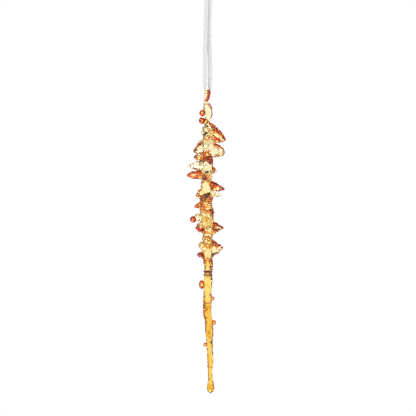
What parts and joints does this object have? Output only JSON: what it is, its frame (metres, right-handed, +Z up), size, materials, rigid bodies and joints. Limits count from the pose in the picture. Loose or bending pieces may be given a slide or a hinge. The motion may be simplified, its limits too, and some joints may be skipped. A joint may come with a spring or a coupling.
{
  "type": "icicle hanging ornament",
  "caption": "Long lampworked amber glass icicle with drooping lobes, beads and a drawn stem, hung by a knotted sheer ribbon loop through its glass eye.",
  "frame": {"origin": "the inside of the top of the ribbon loop, just under its knot, where the hook or twig that holds the ornament bears", "axes": "+Z up along the hang line, +X to the right as the ornament is seen with its largest lobes at either side, -Y to the viewer"},
  "size_m": [0.0351, 0.023, 0.3932],
  "materials": {
    "pale_glass": "clear pale amber, fire polished, with redder streaks at the edges",
    "golden_glass": "clear golden amber, fire polished, with fine lengthwise cords",
    "red_glass": "deep red amber, fire polished, yellow where it is thin",
    "sheer_ribbon": "sheer pale grey-white woven ribbon with denser selvedges"
  },
  "bodies": {
    "knot": {"ribbon_knot": "sheer_ribbon"},
    "ribbon": {"ribbon_loop": "sheer_ribbon"},
    "icicle": {"bead_body": "red_glass", "bead_neck_front": "red_glass", "bead_neck_lower": "red_glass", "bead_neck_upper": "red_glass", "gather_bottom": "pale_glass", "gather_second": "pale_glass", "gather_third": "pale_glass", "gather_top": "pale_glass", "hanging_eye": "red_glass", "lobe_back_1": "pale_glass", "lobe_back_2": "red_glass", "lobe_back_3": "pale_glass", "lobe_back_4": "red_glass", "lobe_back_5": "pale_glass", "lobe_back_6": "red_glass", "lobe_front_1": "pale_glass", "lobe_front_2": "red_glass", "lobe_front_3": "pale_glass", "lobe_front_4": "red_glass", "lobe_front_5": "pale_glass", "lobe_front_6": "red_glass", "lobe_left_1": "pale_glass", "lobe_left_10": "pale_glass", "lobe_left_11": "red_glass", "lobe_left_2": "pale_glass", "lobe_left_3": "red_glass", "lobe_left_4": "pale_glass", "lobe_left_5": "red_glass", "lobe_left_6": "pale_glass", "lobe_left_7": "red_glass", "lobe_left_8": "pale_glass", "lobe_left_9": "red_glass", "lobe_right_1": "red_glass", "lobe_right_2": "pale_glass", "lobe_right_3": "red_glass", "lobe_right_4": "red_glass", "lobe_right_5": "pale_glass", "lobe_right_6": "red_glass", "lobe_right_7": "red_glass", "lobe_right_8": "pale_glass", "neck_leaf": "pale_glass", "neck_trail": "red_glass", "stem_drip_1": "golden_glass", "stem_drip_2": "golden_glass", "stem_drip_3": "golden_glass", "stem_drip_4": "golden_glass", "stem_drip_5": "golden_glass", "stem_drop_1": "red_glass", "stem_drop_2": "red_glass", "stem_drop_3": "red_glass", "stem_drop_4": "red_glass", "stem_drop_5": "red_glass", "stem_drop_6": "red_glass", "tip_drop": "golden_glass", "wrap_lower": "red_glass", "wrap_upper": "red_glass"}
  },
  "joints": [
    {"name": "ribbon_twist", "type": "hinge", "parent": "knot", "child": "ribbon", "pos_m": [0, 0, 0.0014], "axis": [0, 0, 1], "range_deg": [-180, 180]},
    {"name": "icicle_swing", "type": "hinge", "parent": "ribbon", "child": "icicle", "pos_m": [-0.0005, 0, -0.102], "axis": [0.866, 0.5, 0], "range_deg": [-80, 80]}
  ]
}
